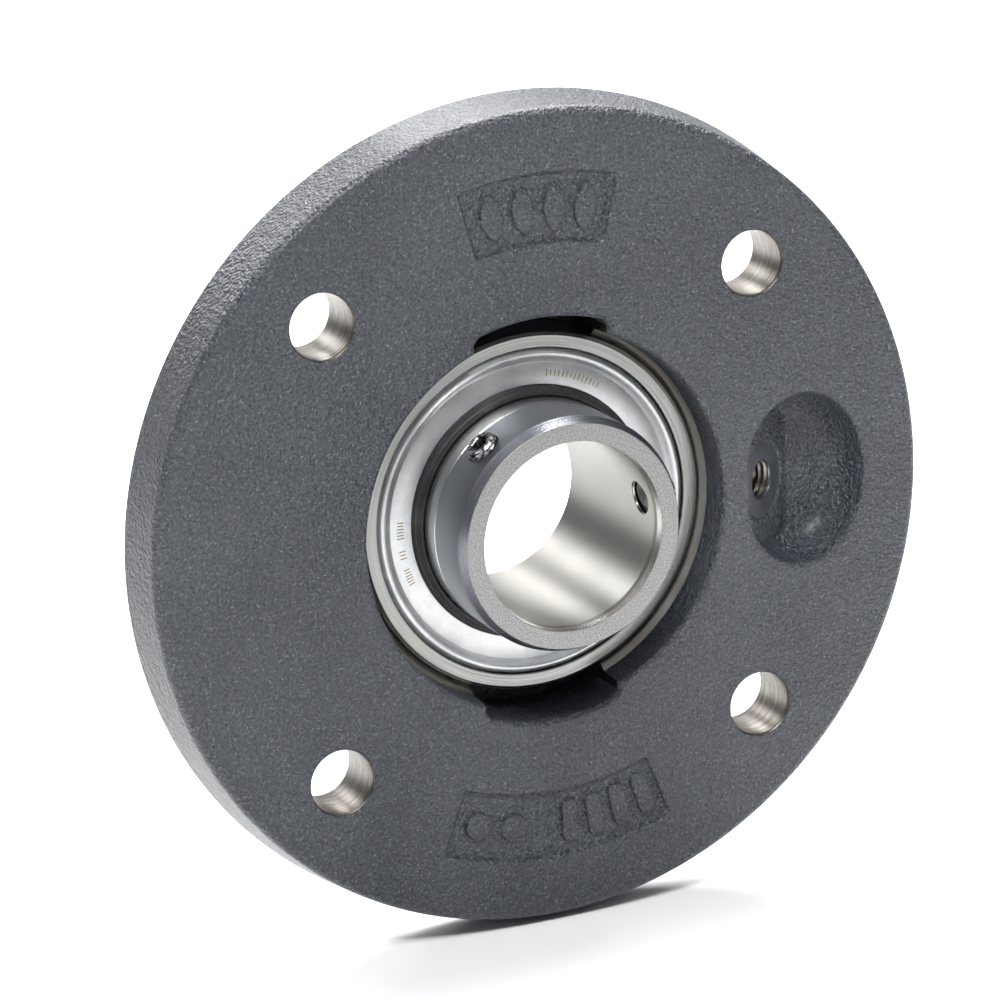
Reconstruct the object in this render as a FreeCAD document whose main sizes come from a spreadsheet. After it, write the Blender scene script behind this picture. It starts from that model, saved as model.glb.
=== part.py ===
import FreeCAD, Part
import math
import os
import Sketcher

# Round flanged housing unit with an insert ball bearing.
# Frame: shaft axis along Y, front towards -Y, mounting face at y = 0, Z up, millimetres.

os.makedirs("parts", exist_ok=True)
doc = FreeCAD.newDocument("flange_bearing")

# ---- driving dimensions: name, value or formula -------------------------------------------
sheet = doc.addObject("Spreadsheet::Sheet", "dims")
DIMS = [
    # flange
    ("flange_back_r", "101.2"),
    ("flange_thk", "15.5"),
    ("rim_round", "2.2"),
    ("rim_break", "0.8"),
    ("bolt_hole_r", "7.85"),
    ("bolt_angle", "45"),
    # cast opening, machined lead and spherical seat
    ("recess_depth", "8.3"),
    ("open_break", "0.8"),
    ("seat_y", "4.0"),
    ("seat_half", "8.8"),
    ("slot_half", "17.3"),
    # hub and centring spigot behind the flange
    ("spigot_len", "6.0"),
    ("hub_break", "1.5"),
    # sunken cast panels
    ("panel_depth", "0.9"),
    ("top_panel_half", "14.2"),
    ("low_panel_half", "21.0"),
    # grease pocket
    ("pocket_rx", "16.0"),
    ("pocket_rz", "21.1"),
    ("pocket_deep", "14.0"),
    ("pocket_floor", "10.5"),
    ("pocket_skim", "0.5"),
    ("port_deep", "4.5"),
    ("port_angle", "55"),
    ("face_r", "9.5"),
    ("port_r", "4.3"),
    ("port_len", "11.0"),
    ("duct_r", "1.4"),
    ("duct_len", "26.5"),
    # insert bearing
    ("ring_sphere_r", "45.0"),
    ("ring_half", "10.5"),
    ("ring_break", "0.6"),
    ("seal_seat_len", "3.1"),
    ("ball_r", "5.953"),
    ("race_play", "0.02"),
    ("oil_hole_r", "1.2"),
    ("oil_hole_off", "5.9"),
    ("bore_r", "22.5"),
    ("inner_front", "33.2"),
    ("inner_back", "16.0"),
    ("lead_wide", "0.5"),
    ("lead_long", "3.0"),
    ("nose_wide", "1.3"),
    ("nose_long", "2.8"),
    ("tail_break", "0.8"),
    # set screws
    ("screw_r", "3.95"),
    ("screw_len", "7.0"),
    ("screw_from_end", "9.6"),
    ("screw_break", "0.5"),
    ("hex_across", "4.0"),
    ("hex_deep", "3.2"),
    ("cup_r", "2.4"),
    ("cup_deep", "1.0"),
    # cage
    # seals, measured from the middle of the bearing towards the seal
    ("plate_face", "9.5"),
    ("plate_thk", "0.6"),
    ("bead_rise", "1.05"),
    ("rubber_thk", "0.8"),
    ("lip_reach", "2.1"),
    ("inner_plate_thk", "0.45"),
    ("seal_gap", "0.05"),
    # sizes that follow others, so that the fits hold
    ("flange_front_r", "=flange_back_r - 1.7"),
    ("bolt_circle_r", "=flange_back_r - 22.95"),
    ("panel_in_r", "=bolt_circle_r - 10.95"),
    ("panel_out_r", "=bolt_circle_r + 6.35"),
    ("seat_r", "=ring_sphere_r + 0.05"),
    ("open_r", "=ring_sphere_r + 1.5"),
    ("recess_r", "=ring_sphere_r + 1.1"),
    ("rear_mouth_r", "=ring_sphere_r + 1.5"),
    ("slot_r", "=ring_sphere_r + 4.5"),
    ("hub_r", "=ring_sphere_r + 12.5"),
    ("hub_back_r", "=hub_r - 1.5"),
    ("hub_len", "=seat_y + 13"),
    ("spigot_r", "=hub_r + 7.5"),
    ("port_x", "=ring_sphere_r + 14"),
    ("pocket_x", "=port_x + 9.3"),
    ("ring_face_r", "=ring_sphere_r - 1.9"),
    ("seal_seat_r", "=ring_sphere_r - 4.8"),
    ("inner_r", "=bore_r + 6.1"),
    ("pitch_r", "=inner_r + 4.4"),
    ("race_r", "=ball_r + 0.237"),
    ("outer_shoulder_r", "=pitch_r + ball_r - 1.353"),
    ("cage_in_r", "=pitch_r - 1.8"),
    ("cage_out_r", "=pitch_r + 1.8"),
    ("cage_open", "=ball_r - 2.753"),
    ("cage_back", "=ball_r + 1.197"),
    ("cage_pocket_r", "=ball_r + 0.127"),
    ("screw_hole_r", "=screw_r + 0.05"),
    ("screw_in", "=bore_r + 0.8"),
    ("plate_in_r", "=inner_r + 2.4"),
    ("plate_flat_r", "=seal_seat_r - 3.7"),
    ("bead_r", "=seal_seat_r - 1.6"),
    ("lip_r", "=inner_r + 0.08"),
    ("inner_plate_in_r", "=inner_r + 1.6"),
    # derived places
    ("front_y", "=-flange_thk"),
    ("flange_fillet_r", "=flange_front_r - rim_round"),
    ("flange_fillet_y", "=front_y + rim_round"),
    ("rim_break_r", "=flange_back_r - rim_break"),
    ("rim_break_y", "=-rim_break"),
    ("recess_y", "=front_y + recess_depth"),
    ("open_wall_y", "=front_y + open_break"),
    ("open_face_r", "=open_r + open_break"),
    ("seat_front_y", "=seat_y - seat_half"),
    ("seat_back_y", "=seat_y + seat_half"),
    ("seat_edge_r", "=sqrt(seat_r ^ 2 - seat_half ^ 2)"),
    ("mouth_y", "=seat_back_y + (rear_mouth_r - seat_edge_r)"),
    ("hub_wall_y", "=hub_len - hub_break"),
    ("hub_face_r", "=hub_back_r - hub_break"),
    ("spigot_wall_y", "=spigot_len - 1"),
    ("spigot_face_r", "=spigot_r - 1"),
    ("zero", "0"),
    ("ring_front_y", "=seat_y - ring_half"),
    ("ring_back_y", "=seat_y + ring_half"),
    ("ring_edge_half", "=ring_half - ring_break"),
    ("ring_edge_r", "=sqrt(ring_sphere_r ^ 2 - ring_edge_half ^ 2)"),
    ("ring_front_edge_y", "=seat_y - ring_edge_half"),
    ("ring_back_edge_y", "=seat_y + ring_edge_half"),
    ("seal_front_y", "=ring_front_y + seal_seat_len"),
    ("seal_back_y", "=ring_back_y - seal_seat_len"),
    ("outer_race_c", "=pitch_r + ball_r + race_play - race_r"),
    ("outer_race_half", "=sqrt(race_r ^ 2 - (outer_shoulder_r - outer_race_c) ^ 2)"),
    ("outer_race_y1", "=seat_y - outer_race_half"),
    ("outer_race_y2", "=seat_y + outer_race_half"),
    ("inner_race_c", "=pitch_r - ball_r - race_play + race_r"),
    ("inner_race_half", "=sqrt(race_r ^ 2 - (inner_race_c - inner_r) ^ 2)"),
    ("inner_race_y1", "=seat_y - inner_race_half"),
    ("inner_race_y2", "=seat_y + inner_race_half"),
    ("nose_y", "=seat_y - inner_front"),
    ("nose_wall_y", "=nose_y + nose_long"),
    ("nose_face_r", "=inner_r - nose_wide"),
    ("lead_r", "=bore_r + lead_wide"),
    ("lead_y", "=nose_y + lead_long"),
    ("tail_y", "=seat_y + inner_back"),
    ("tail_wall_y", "=tail_y - tail_break"),
    ("tail_face_r", "=inner_r - tail_break"),
    ("tail_lead_r", "=bore_r + tail_break"),
    ("screw_y", "=nose_y + screw_from_end"),
]
for row, (name, value) in enumerate(DIMS, start=1):
    sheet.set("A%d" % row, name)
    sheet.set("B%d" % row, value)
    sheet.setAlias("B%d" % row, name)
doc.recompute()

BALL_COUNT = 9
SCREW_ANGLES = (129.5, 9.5)
X_AXIS = FreeCAD.Vector(1, 0, 0)
Y_AXIS = FreeCAD.Vector(0, 1, 0)
Z_AXIS = FreeCAD.Vector(0, 0, 1)
ORIGIN = FreeCAD.Vector(0, 0, 0)


def dim(name):
    """The present value of one named dimension, in millimetres or degrees."""
    value = sheet.get(name)
    return float(getattr(value, "Value", value))


def origin_plane(body, role):
    """One of a body's own origin planes or axes, found by its role."""
    for feature in body.Origin.OriginFeatures:
        if feature.Role == role:
            return feature
    raise ValueError("no " + role)


def new_sketch(body, name, role="XY_Plane"):
    sketch = body.newObject("Sketcher::SketchObject", name)
    sketch.AttachmentSupport = [(origin_plane(body, role), "")]
    sketch.MapMode = "FlatFace"
    return sketch


def pin_point(sketch, geo, end, x_name, y_name):
    """Holds one end of a piece of geometry at two named dimensions (None leaves one free)."""
    for kind, name in (("DistanceX", x_name), ("DistanceY", y_name)):
        if name is None:
            continue
        index = sketch.addConstraint(Sketcher.Constraint(kind, -1, 1, geo, end, dim(name)))
        sketch.setExpression("Constraints[%d]" % index, "dims." + name)


def draw_outline(sketch, steps):
    """A closed outline. Each step is (x, y) for a corner reached by a line, or
    (x, y, centre x, centre y, sense) for a corner reached by an arc; sense 1 is anticlockwise."""
    count = len(steps)
    ids = []
    for i, step in enumerate(steps):
        before = steps[i - 1]
        a = FreeCAD.Vector(dim(before[0]), dim(before[1]), 0)
        b = FreeCAD.Vector(dim(step[0]), dim(step[1]), 0)
        if len(step) == 2:
            ids.append((sketch.addGeometry(Part.LineSegment(a, b), False), 1, 2))
            continue
        c = FreeCAD.Vector(dim(step[2]), dim(step[3]), 0)
        start, stop = (a, b) if step[4] == 1 else (b, a)
        first = math.atan2(start.y - c.y, start.x - c.x)
        last = math.atan2(stop.y - c.y, stop.x - c.x)
        if last < first:
            last += 2 * math.pi
        circle = Part.Circle(c, Z_AXIS, a.distanceToPoint(c))
        geo = sketch.addGeometry(Part.ArcOfCircle(circle, first, last), False)
        ids.append((geo, 1, 2) if step[4] == 1 else (geo, 2, 1))
    for i in range(count):
        geo, _, end = ids[i]
        following, start, _ = ids[(i + 1) % count]
        sketch.addConstraint(Sketcher.Constraint("Coincident", geo, end, following, start))
    for i, step in enumerate(steps):
        geo, _, end = ids[i]
        if len(step) == 2:
            pin_point(sketch, geo, end, step[0], step[1])
        else:
            pin_point(sketch, geo, 3, step[2], step[3])
            pin_point(sketch, geo, end, None, step[1])


def revolved_body(name, steps):
    """A body turned about the Y axis from a half outline in the XY plane."""
    body = doc.addObject("PartDesign::Body", name + "_body")
    sketch = new_sketch(body, name + "_outline")
    draw_outline(sketch, steps)
    turn = body.newObject("PartDesign::Revolution", name + "_turn")
    turn.Profile = sketch
    turn.ReferenceAxis = (sketch, ["V_Axis"])
    turn.Angle = 360
    body.Tip = turn
    doc.recompute()
    return body


def pocket(body, sketch, name, depth):
    """Cuts a sketch on the flange's front towards the back, to a named depth."""
    cut = body.newObject("PartDesign::Pocket", name)
    cut.Profile = sketch
    cut.Type = 0
    cut.setExpression("Length", depth)
    body.Tip = cut
    before = body.Shape.Volume
    doc.recompute()
    if not body.Shape.Volume < before - 1:
        raise ValueError(name + " cuts nothing")
    return cut


def front_sketch(body, name):
    """A sketch on the flange's front face; its x is X and its y is Z."""
    sketch = new_sketch(body, name, "XZ_Plane")
    sketch.setExpression("AttachmentOffset.Base.z", "dims.flange_thk")
    return sketch


def circle_sketch(sketch, x, y, radius, x_expr, y_expr, r_expr):
    geo = sketch.addGeometry(Part.Circle(FreeCAD.Vector(x, y, 0), Z_AXIS, radius), False)
    across = sketch.addConstraint(Sketcher.Constraint("DistanceX", -1, 1, geo, 3, x))
    up = sketch.addConstraint(Sketcher.Constraint("DistanceY", -1, 1, geo, 3, y))
    size = sketch.addConstraint(Sketcher.Constraint("Radius", geo, radius))
    sketch.setExpression("Constraints[%d]" % across, x_expr)
    sketch.setExpression("Constraints[%d]" % up, y_expr)
    sketch.setExpression("Constraints[%d]" % size, r_expr)


# ---- housing --------------------------------------------------------------------------------
housing_body = revolved_body("housing", [
    ("flange_fillet_r", "front_y"),
    ("flange_front_r", "flange_fillet_y", "flange_fillet_r", "flange_fillet_y", 1),
    ("flange_back_r", "rim_break_y"),
    ("rim_break_r", "zero"),
    ("spigot_r", "zero"),
    ("spigot_r", "spigot_wall_y"),
    ("spigot_face_r", "spigot_len"),
    ("hub_r", "spigot_len"),
    ("hub_back_r", "hub_wall_y"),
    ("hub_face_r", "hub_len"),
    ("rear_mouth_r", "hub_len"),
    ("rear_mouth_r", "mouth_y"),
    ("seat_edge_r", "seat_back_y"),
    ("seat_edge_r", "seat_front_y", "zero", "seat_y", -1),
    ("recess_r", "recess_y"),
    ("open_r", "open_wall_y"),
    ("open_face_r", "front_y"),
])

# two loading slots, one opening across the bore
slot_sketch = front_sketch(housing_body, "slot_outline")
half = dim("slot_half")
high = math.sqrt(dim("slot_r") ** 2 - half ** 2)
lean = math.acos(half / dim("slot_r"))
slot_circle = Part.Circle(ORIGIN, Z_AXIS, dim("slot_r"))
right = slot_sketch.addGeometry(
    Part.LineSegment(FreeCAD.Vector(half, -high, 0), FreeCAD.Vector(half, high, 0)), False)
upper = slot_sketch.addGeometry(Part.ArcOfCircle(slot_circle, lean, math.pi - lean), False)
left = slot_sketch.addGeometry(
    Part.LineSegment(FreeCAD.Vector(-half, high, 0), FreeCAD.Vector(-half, -high, 0)), False)
lower = slot_sketch.addGeometry(
    Part.ArcOfCircle(slot_circle, math.pi + lean, 2 * math.pi - lean), False)
for one, one_end, other, other_end in ((right, 2, upper, 1), (upper, 2, left, 1),
                                       (left, 2, lower, 1), (lower, 2, right, 1)):
    slot_sketch.addConstraint(Sketcher.Constraint("Coincident", one, one_end, other, other_end))
slot_sketch.addConstraint(Sketcher.Constraint("Vertical", right))
slot_sketch.addConstraint(Sketcher.Constraint("Vertical", left))
slot_sketch.addConstraint(Sketcher.Constraint("Coincident", upper, 3, -1, 1))
slot_sketch.addConstraint(Sketcher.Constraint("Coincident", lower, 3, -1, 1))
for geo in (upper, lower):
    index = slot_sketch.addConstraint(Sketcher.Constraint("Radius", geo, dim("slot_r")))
    slot_sketch.setExpression("Constraints[%d]" % index, "dims.slot_r")
for geo, side in ((right, 1), (left, -1)):
    index = slot_sketch.addConstraint(Sketcher.Constraint("DistanceX", -1, 1, geo, 1, side * half))
    slot_sketch.setExpression("Constraints[%d]" % index, "%d * dims.slot_half" % side)
pocket(housing_body, slot_sketch, "loading_slots", "dims.flange_thk + dims.seat_y")

# one bolt hole, repeated round the shaft axis
bolt_sketch = front_sketch(housing_body, "bolt_outline")
bolt_turn = math.radians(dim("bolt_angle"))
circle_sketch(bolt_sketch, dim("bolt_circle_r") * math.cos(bolt_turn),
              dim("bolt_circle_r") * math.sin(bolt_turn), dim("bolt_hole_r"),
              "dims.bolt_circle_r * cos(dims.bolt_angle * 1 deg)",
              "dims.bolt_circle_r * sin(dims.bolt_angle * 1 deg)", "dims.bolt_hole_r")
bolt_cut = pocket(housing_body, bolt_sketch, "bolt_hole", "dims.flange_thk + 1")
bolts = housing_body.newObject("PartDesign::PolarPattern", "bolt_holes")
bolts.Originals = [bolt_cut]
bolts.Axis = (bolt_sketch, ["N_Axis"])
bolts.Angle = 360
bolts.Occurrences = 4
housing_body.Tip = bolts
doc.recompute()


def arc_panel(name, middle, half_name):
    """A shallow sunken panel between two radii, either side of an angle."""
    sketch = front_sketch(housing_body, name + "_outline")
    half_turn = math.radians(dim(half_name))
    lo, hi = math.radians(middle) - half_turn, math.radians(middle) + half_turn
    r1, r2 = dim("panel_in_r"), dim("panel_out_r")

    def at(radius, turn):
        return FreeCAD.Vector(radius * math.cos(turn), radius * math.sin(turn), 0)
    outer = sketch.addGeometry(Part.ArcOfCircle(Part.Circle(ORIGIN, Z_AXIS, r2), lo, hi), False)
    inner = sketch.addGeometry(Part.ArcOfCircle(Part.Circle(ORIGIN, Z_AXIS, r1), lo, hi), False)
    first = sketch.addGeometry(Part.LineSegment(at(r1, lo), at(r2, lo)), False)
    last = sketch.addGeometry(Part.LineSegment(at(r1, hi), at(r2, hi)), False)
    for a, a_end, b, b_end in ((first, 2, outer, 1), (outer, 2, last, 2),
                               (last, 1, inner, 2), (inner, 1, first, 1)):
        sketch.addConstraint(Sketcher.Constraint("Coincident", a, a_end, b, b_end))
    for geo in (outer, inner):
        sketch.addConstraint(Sketcher.Constraint("Coincident", geo, 3, -1, 1))
    for geo, r_name in ((outer, "panel_out_r"), (inner, "panel_in_r")):
        index = sketch.addConstraint(Sketcher.Constraint("Radius", geo, dim(r_name)))
        sketch.setExpression("Constraints[%d]" % index, "dims." + r_name)
    for geo, sense in ((first, -1), (last, 1)):
        for end, r_name in ((1, "panel_in_r"), (2, "panel_out_r")):
            turn = math.radians(middle) + sense * half_turn
            x = dim(r_name) * math.cos(turn)
            index = sketch.addConstraint(Sketcher.Constraint("DistanceX", -1, 1, geo, end, x))
            sketch.setExpression(
                "Constraints[%d]" % index,
                "dims.%s * cos((%g + %d * dims.%s) * 1 deg)" % (r_name, middle, sense, half_name))
    pocket(housing_body, sketch, name, "dims.panel_depth")


arc_panel("top_panel", 90, "top_panel_half")
arc_panel("low_panel", -90, "low_panel_half")

# grease pocket: a scooped bowl with a level floor and a slope square to the port, then a flat
# face skimmed on that slope, the port and its duct
bowl = doc.addObject("Part::Ellipsoid", "pocket_bowl")
bowl.Angle1 = -90
bowl.Angle2 = 90
bowl.Angle3 = 360
bowl.setExpression("Radius1", "dims.pocket_rz")
bowl.setExpression("Radius2", "dims.pocket_rx")
bowl.setExpression("Radius3", "dims.pocket_deep")
bowl.setExpression("Placement.Base.x", "dims.pocket_x")
bowl.setExpression("Placement.Base.y", "dims.front_y")


def port_tool(name, radius, length, outwards):
    """A round cutter on the port's axis, starting at the flat face."""
    tool = doc.addObject("Part::Cylinder", name)
    tool.setExpression("Radius", radius)
    tool.setExpression("Height", length)
    # the cylinder's own axis is turned from Z into the XY plane, along the port
    turn = 0 if outwards else 180
    spin = FreeCAD.Rotation(Z_AXIS, -dim("port_angle") + turn)
    tool.Placement = FreeCAD.Placement(ORIGIN, spin.multiply(FreeCAD.Rotation(Y_AXIS, 90)))
    tool.setExpression("Placement.Base.x", "dims.port_x")
    tool.setExpression("Placement.Base.y", "dims.front_y + dims.port_deep")
    return tool


slope = port_tool("pocket_slope", "3 * dims.pocket_rz", "60", False)
lean = "(dims.port_angle * 1 deg)"
slope.setExpression("Placement.Base.x", "dims.port_x + dims.pocket_skim * cos%s" % lean)
slope.setExpression("Placement.Base.y",
                    "dims.front_y + dims.port_deep - dims.pocket_skim * sin%s" % lean)
floor = doc.addObject("Part::Box", "pocket_floor")
for side, value in (("Length", "4 * dims.pocket_rz"), ("Width", "2 * dims.pocket_deep"),
                    ("Height", "4 * dims.pocket_rz"),
                    ("Placement.Base.x", "dims.pocket_x - 2 * dims.pocket_rz"),
                    ("Placement.Base.y", "dims.front_y + dims.pocket_floor"),
                    ("Placement.Base.z", "-2 * dims.pocket_rz")):
    floor.setExpression(side, value)
for limit in (slope, floor):
    kept = doc.addObject("Part::Cut", "pocket_bowl_less_" + limit.Name)
    kept.Base = bowl
    kept.Tool = limit
    bowl = kept

spot_face = port_tool("spot_face", "dims.face_r", "22", True)
port_hole = port_tool("port_hole", "dims.port_r", "dims.port_len", False)
duct = port_tool("duct", "dims.duct_r", "dims.duct_len", False)
housing = doc.addObject("Part::Cut", "housing_cut_bowl")
housing.Base = housing_body
housing.Tool = bowl
for tool in (spot_face, port_hole, duct):
    further = doc.addObject("Part::Cut", "housing_cut_" + tool.Name)
    further.Base = housing
    further.Tool = tool
    housing = further

# ---- outer ring -----------------------------------------------------------------------------
outer_body = revolved_body("outer_ring", [
    ("ring_face_r", "ring_front_y"),
    ("ring_edge_r", "ring_front_edge_y"),
    ("ring_edge_r", "ring_back_edge_y", "zero", "seat_y", 1),
    ("ring_face_r", "ring_back_y"),
    ("seal_seat_r", "ring_back_y"),
    ("seal_seat_r", "seal_back_y"),
    ("outer_shoulder_r", "seal_back_y"),
    ("outer_shoulder_r", "outer_race_y2"),
    ("outer_shoulder_r", "outer_race_y1", "outer_race_c", "seat_y", -1),
    ("outer_shoulder_r", "seal_front_y"),
    ("seal_seat_r", "seal_front_y"),
    ("seal_seat_r", "ring_front_y"),
])
oil_hole = doc.addObject("Part::Cylinder", "oil_hole")
oil_hole.Height = 12
oil_hole.setExpression("Radius", "dims.oil_hole_r")
oil_hole.Placement = FreeCAD.Placement(ORIGIN, FreeCAD.Rotation(Y_AXIS, 90))
oil_hole.setExpression("Placement.Base.x", "dims.outer_shoulder_r - 2")
oil_hole.setExpression("Placement.Base.y", "dims.seat_y + dims.oil_hole_off")
outer_ring = doc.addObject("Part::Cut", "outer_ring_cut")
outer_ring.Base = outer_body
outer_ring.Tool = oil_hole

# ---- inner ring -----------------------------------------------------------------------------
inner_body = revolved_body("inner_ring", [
    ("lead_r", "nose_y"),
    ("nose_face_r", "nose_y"),
    ("inner_r", "nose_wall_y"),
    ("inner_r", "inner_race_y1"),
    ("inner_r", "inner_race_y2", "inner_race_c", "seat_y", -1),
    ("inner_r", "tail_wall_y"),
    ("tail_face_r", "tail_y"),
    ("tail_lead_r", "tail_y"),
    ("bore_r", "tail_wall_y"),
    ("bore_r", "lead_y"),
])
inner_ring = inner_body
for number, angle in enumerate(SCREW_ANGLES, start=1):
    drill = doc.addObject("Part::Cylinder", "screw_hole_%d" % number)
    drill.setExpression("Radius", "dims.screw_hole_r")
    drill.setExpression("Height", "dims.inner_r")
    # from Z up round to the screw's own direction in the XZ plane
    drill.Placement = FreeCAD.Placement(ORIGIN, FreeCAD.Rotation(Y_AXIS, 90 - angle))
    turn = "(%g * 1 deg)" % angle
    drill.setExpression("Placement.Base.x", "(dims.bore_r - 4) * cos%s" % turn)
    drill.setExpression("Placement.Base.y", "dims.screw_y")
    drill.setExpression("Placement.Base.z", "(dims.bore_r - 4) * sin%s" % turn)
    cut = doc.addObject("Part::Cut", "inner_ring_cut_%d" % number)
    cut.Base = inner_ring
    cut.Tool = drill
    inner_ring = cut

# ---- set screws: modelled along Z, then turned into place ------------------------------------
screws = []
for number, angle in enumerate(SCREW_ANGLES, start=1):
    shank = doc.addObject("Part::Cylinder", "screw_shank_%d" % number)
    shank.setExpression("Radius", "dims.screw_r")
    shank.setExpression("Height", "dims.screw_len")
    ends = doc.addObject("Part::Chamfer", "screw_ends_%d" % number)
    doc.recompute()
    ends.Base = shank
    rims = [i for i, edge in enumerate(shank.Shape.Edges, start=1)
            if edge.Curve.TypeId == "Part::GeomCircle"]
    ends.Edges = [(i, dim("screw_break"), dim("screw_break")) for i in rims]
    socket = doc.addObject("Part::Prism", "screw_socket_%d" % number)
    socket.Polygon = 6
    socket.setExpression("Circumradius", "dims.hex_across / sqrt(3)")
    socket.setExpression("Height", "dims.hex_deep")
    socket.setExpression("Placement.Base.z", "dims.screw_len - dims.hex_deep")
    cup = doc.addObject("Part::Cone", "screw_cup_%d" % number)
    cup.setExpression("Radius1", "dims.cup_r")
    cup.Radius2 = 0
    cup.setExpression("Height", "dims.cup_deep")
    hollow = doc.addObject("Part::Cut", "screw_hollow_%d" % number)
    hollow.Base = ends
    hollow.Tool = socket
    screw = doc.addObject("Part::Cut", "screw_%d" % number)
    screw.Base = hollow
    screw.Tool = cup
    turn = "(%g * 1 deg)" % angle
    screw.Placement = FreeCAD.Placement(ORIGIN, FreeCAD.Rotation(Y_AXIS, 90 - angle))
    screw.setExpression("Placement.Base.x", "dims.screw_in * cos%s" % turn)
    screw.setExpression("Placement.Base.y", "dims.screw_y")
    screw.setExpression("Placement.Base.z", "dims.screw_in * sin%s" % turn)
    screws.append(screw)

# ---- balls and cage -------------------------------------------------------------------------
ball_turns = [20 + 360.0 * i / BALL_COUNT for i in range(BALL_COUNT)]


def sphere_at(name, radius, degrees):
    ball = doc.addObject("Part::Sphere", name)
    ball.setExpression("Radius", radius)
    ball.Placement = FreeCAD.Placement(ORIGIN, FreeCAD.Rotation(X_AXIS, -90))
    ball.setExpression("Placement.Base.x", "dims.pitch_r * cos(%.6f * 1 deg)" % degrees)
    ball.setExpression("Placement.Base.y", "dims.seat_y")
    ball.setExpression("Placement.Base.z", "dims.pitch_r * sin(%.6f * 1 deg)" % degrees)
    return ball


balls = [sphere_at("ball_shape_%d" % (i + 1), "dims.ball_r", turn)
         for i, turn in enumerate(ball_turns)]

band_out = doc.addObject("Part::Cylinder", "cage_band")
band_out.setExpression("Radius", "dims.cage_out_r")
band_in = doc.addObject("Part::Cylinder", "cage_hole")
band_in.setExpression("Radius", "dims.cage_in_r")
for band in (band_out, band_in):
    band.setExpression("Height", "dims.cage_open + dims.cage_back")
    band.Placement = FreeCAD.Placement(ORIGIN, FreeCAD.Rotation(X_AXIS, -90))
    band.setExpression("Placement.Base.y", "dims.seat_y - dims.cage_open")
cage = doc.addObject("Part::Cut", "cage_cut_hole")
cage.Base = band_out
cage.Tool = band_in
for i, turn in enumerate(ball_turns):
    seat = sphere_at("cage_pocket_%d" % (i + 1), "dims.cage_pocket_r", turn)
    cut = doc.addObject("Part::Cut", "cage_cut_%d" % (i + 1))
    cut.Base = cage
    cut.Tool = seat
    cage = cut

# ---- seals: the same three pieces at each end -------------------------------------------------
# Each corner is a radius and a distance from the bearing's middle, towards that end.
SEAL_PIECES = {
    "outer_washer": [
        ("plate_in_r", "plate_face"),
        ("plate_flat_r", "plate_face"),
        ("plate_flat_r + 0.8", "plate_face + 0.5 * bead_rise"),
        ("bead_r - 0.45", "plate_face + 0.93 * bead_rise"),
        ("bead_r", "plate_face + bead_rise"),
        ("bead_r + 0.5", "plate_face + 0.93 * bead_rise"),
        ("bead_r + 1.1", "plate_face + 0.5 * bead_rise"),
        ("seal_seat_r - 0.1", "plate_face - 0.2"),
        ("seal_seat_r - 0.1", "ring_half - seal_seat_len + seal_gap"),
        ("bead_r + 0.9", "ring_half - seal_seat_len + seal_gap"),
        ("bead_r + 0.7", "plate_face - 0.1"),
        ("bead_r + 0.2", "plate_face + 0.38 * bead_rise"),
        ("bead_r - 0.3", "plate_face + 0.38 * bead_rise"),
        ("plate_flat_r + 1.2", "plate_face"),
        ("plate_flat_r + 0.3", "plate_face - plate_thk"),
        ("plate_in_r", "plate_face - plate_thk"),
    ],
    "lip": [
        ("plate_in_r - 0.1", "plate_face - 0.1"),
        ("lip_r + 0.75", "plate_face + lip_reach"),
        ("lip_r + 0.2", "plate_face + lip_reach"),
        ("lip_r", "plate_face + lip_reach - 0.3"),
        ("lip_r", "plate_face + lip_reach - 0.7"),
        ("lip_r + 0.5", "plate_face + lip_reach - 1.4"),
        ("lip_r + 0.5", "plate_face - plate_thk - rubber_thk"),
        ("plate_flat_r", "plate_face - plate_thk - rubber_thk"),
        ("plate_flat_r", "plate_face - plate_thk - seal_gap"),
        ("plate_in_r - 0.1", "plate_face - plate_thk - seal_gap"),
    ],
    "inner_washer": [
        ("inner_plate_in_r", "plate_face - plate_thk - rubber_thk - seal_gap"),
        ("plate_flat_r + 0.6", "plate_face - plate_thk - rubber_thk - seal_gap"),
        ("plate_flat_r + 0.6", "plate_face - plate_thk - rubber_thk - seal_gap - inner_plate_thk"),
        ("inner_plate_in_r", "plate_face - plate_thk - rubber_thk - seal_gap - inner_plate_thk"),
    ],
}


def seal_piece(end_name, side, piece, corners):
    """One seal piece; side is -1 for the front end and 1 for the rear end."""
    steps = []
    for i, (radius, reach) in enumerate(corners):
        names = ["%s_%s_%s%s" % (end_name, piece, kind, "abcdefghijklmnopqrst"[i])
                 for kind in ("rad_", "loc_")]
        row = len(ALIASES) + len(DIMS) + 1
        for alias, formula in zip(names, ("=" + radius, "=seat_y + %d * (%s)" % (side, reach))):
            sheet.set("A%d" % row, alias)
            sheet.set("B%d" % row, formula)
            sheet.setAlias("B%d" % row, alias)
            ALIASES.append(alias)
            row += 1
        steps.append(tuple(names))
    doc.recompute()
    return revolved_body("%s_seal_%s" % (end_name, piece), steps)


ALIASES = []
nodes = {
    "housing": housing,
    "outer_ring": outer_ring,
    "inner_ring": inner_ring,
    "cage": cage,
}
for i, ball in enumerate(balls):
    nodes["ball_%d" % (i + 1)] = ball
for end_name, side in (("front", -1), ("rear", 1)):
    for piece, corners in SEAL_PIECES.items():
        nodes["%s_seal_%s" % (end_name, piece)] = seal_piece(end_name, side, piece, corners)
for i, screw in enumerate(screws):
    nodes["set_screw_%d" % (i + 1)] = screw

doc.recompute()

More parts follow.
